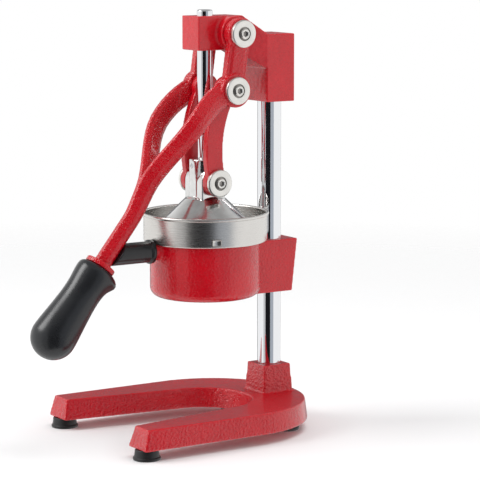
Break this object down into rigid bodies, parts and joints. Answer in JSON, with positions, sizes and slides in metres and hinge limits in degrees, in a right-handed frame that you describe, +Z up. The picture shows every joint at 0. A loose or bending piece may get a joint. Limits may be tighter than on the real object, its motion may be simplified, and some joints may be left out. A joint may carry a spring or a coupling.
{
  "type": "lever citrus press juicer",
  "caption": "Lever citrus press: horseshoe base, chrome column, red head casting, forked handle and links that push a press cone into a steel juice bowl.",
  "frame": {"origin": "on the surface the press stands on, under the middle of the whole press with its handle down", "axes": "+Z up; -Y towards the user, where the legs and the handle point; +X to the right seen along +Y"},
  "size_m": [0.184, 0.2842, 0.4],
  "materials": {
    "red_enamel": "glossy red enamel with a hammered surface",
    "chrome_plate": "polished chrome plate",
    "cast_aluminium": "polished cast aluminium",
    "brushed_bowl": "brushed stainless sheet",
    "satin_nickel": "satin nickel plate",
    "zinc_steel": "dull zinc plate",
    "black_screw": "blackened steel",
    "black_rubber": "satin black rubber"
  },
  "bodies": {
    "frame": {"base": "red_enamel", "column": "chrome_plate", "column_bolt": "zinc_steel", "column_washer": "zinc_steel", "foot_front_left": "black_rubber", "foot_front_right": "black_rubber", "foot_rear_left": "black_rubber", "foot_rear_right": "black_rubber", "foot_screws": "zinc_steel", "head": "red_enamel", "head_set_screws": "black_screw", "bowl_holder": "red_enamel", "holder_set_screws": "black_screw", "bumper": "black_rubber", "juice_bowl": "brushed_bowl", "strainer": "brushed_bowl", "reamer": "cast_aluminium", "head_bolt_left": "satin_nickel", "head_bolt_right": "satin_nickel", "head_washer_left": "satin_nickel", "head_washer_right": "satin_nickel"},
    "handle": {"handle": "red_enamel", "grip": "black_rubber", "elbow_bolt_left": "satin_nickel", "elbow_bolt_right": "satin_nickel", "elbow_washer_left": "satin_nickel", "elbow_washer_right": "satin_nickel"},
    "press": {"guide_rod": "chrome_plate", "press_cone": "cast_aluminium", "rod_pin": "zinc_steel", "press_bolt_left": "satin_nickel", "press_bolt_right": "satin_nickel", "press_washer_left": "satin_nickel", "press_washer_right": "satin_nickel"},
    "links": {"link_left": "red_enamel", "link_right": "red_enamel"}
  },
  "joints": [
    {"name": "handle_pivot", "type": "hinge", "parent": "frame", "child": "handle", "pos_m": [0, 0.06293, 0.3784], "axis": [-1, 0, 0], "range_deg": [0, 100]},
    {"name": "press_slide", "type": "slide", "parent": "frame", "child": "press", "axis": [0, 0, 1], "range_m": [0, 0.0737]},
    {"name": "link_pivot", "type": "hinge", "parent": "press", "child": "links", "pos_m": [0, 0.04313, 0.2388], "axis": [1, 0, 0], "range_deg": [0, 28.5]}
  ],
  "couplings": [
    {"joint": "press_slide", "follows": "handle_pivot", "m_per_rad": 0.04222},
    {"joint": "link_pivot", "follows": "handle_pivot", "ratio": 0.2849}
  ]
}
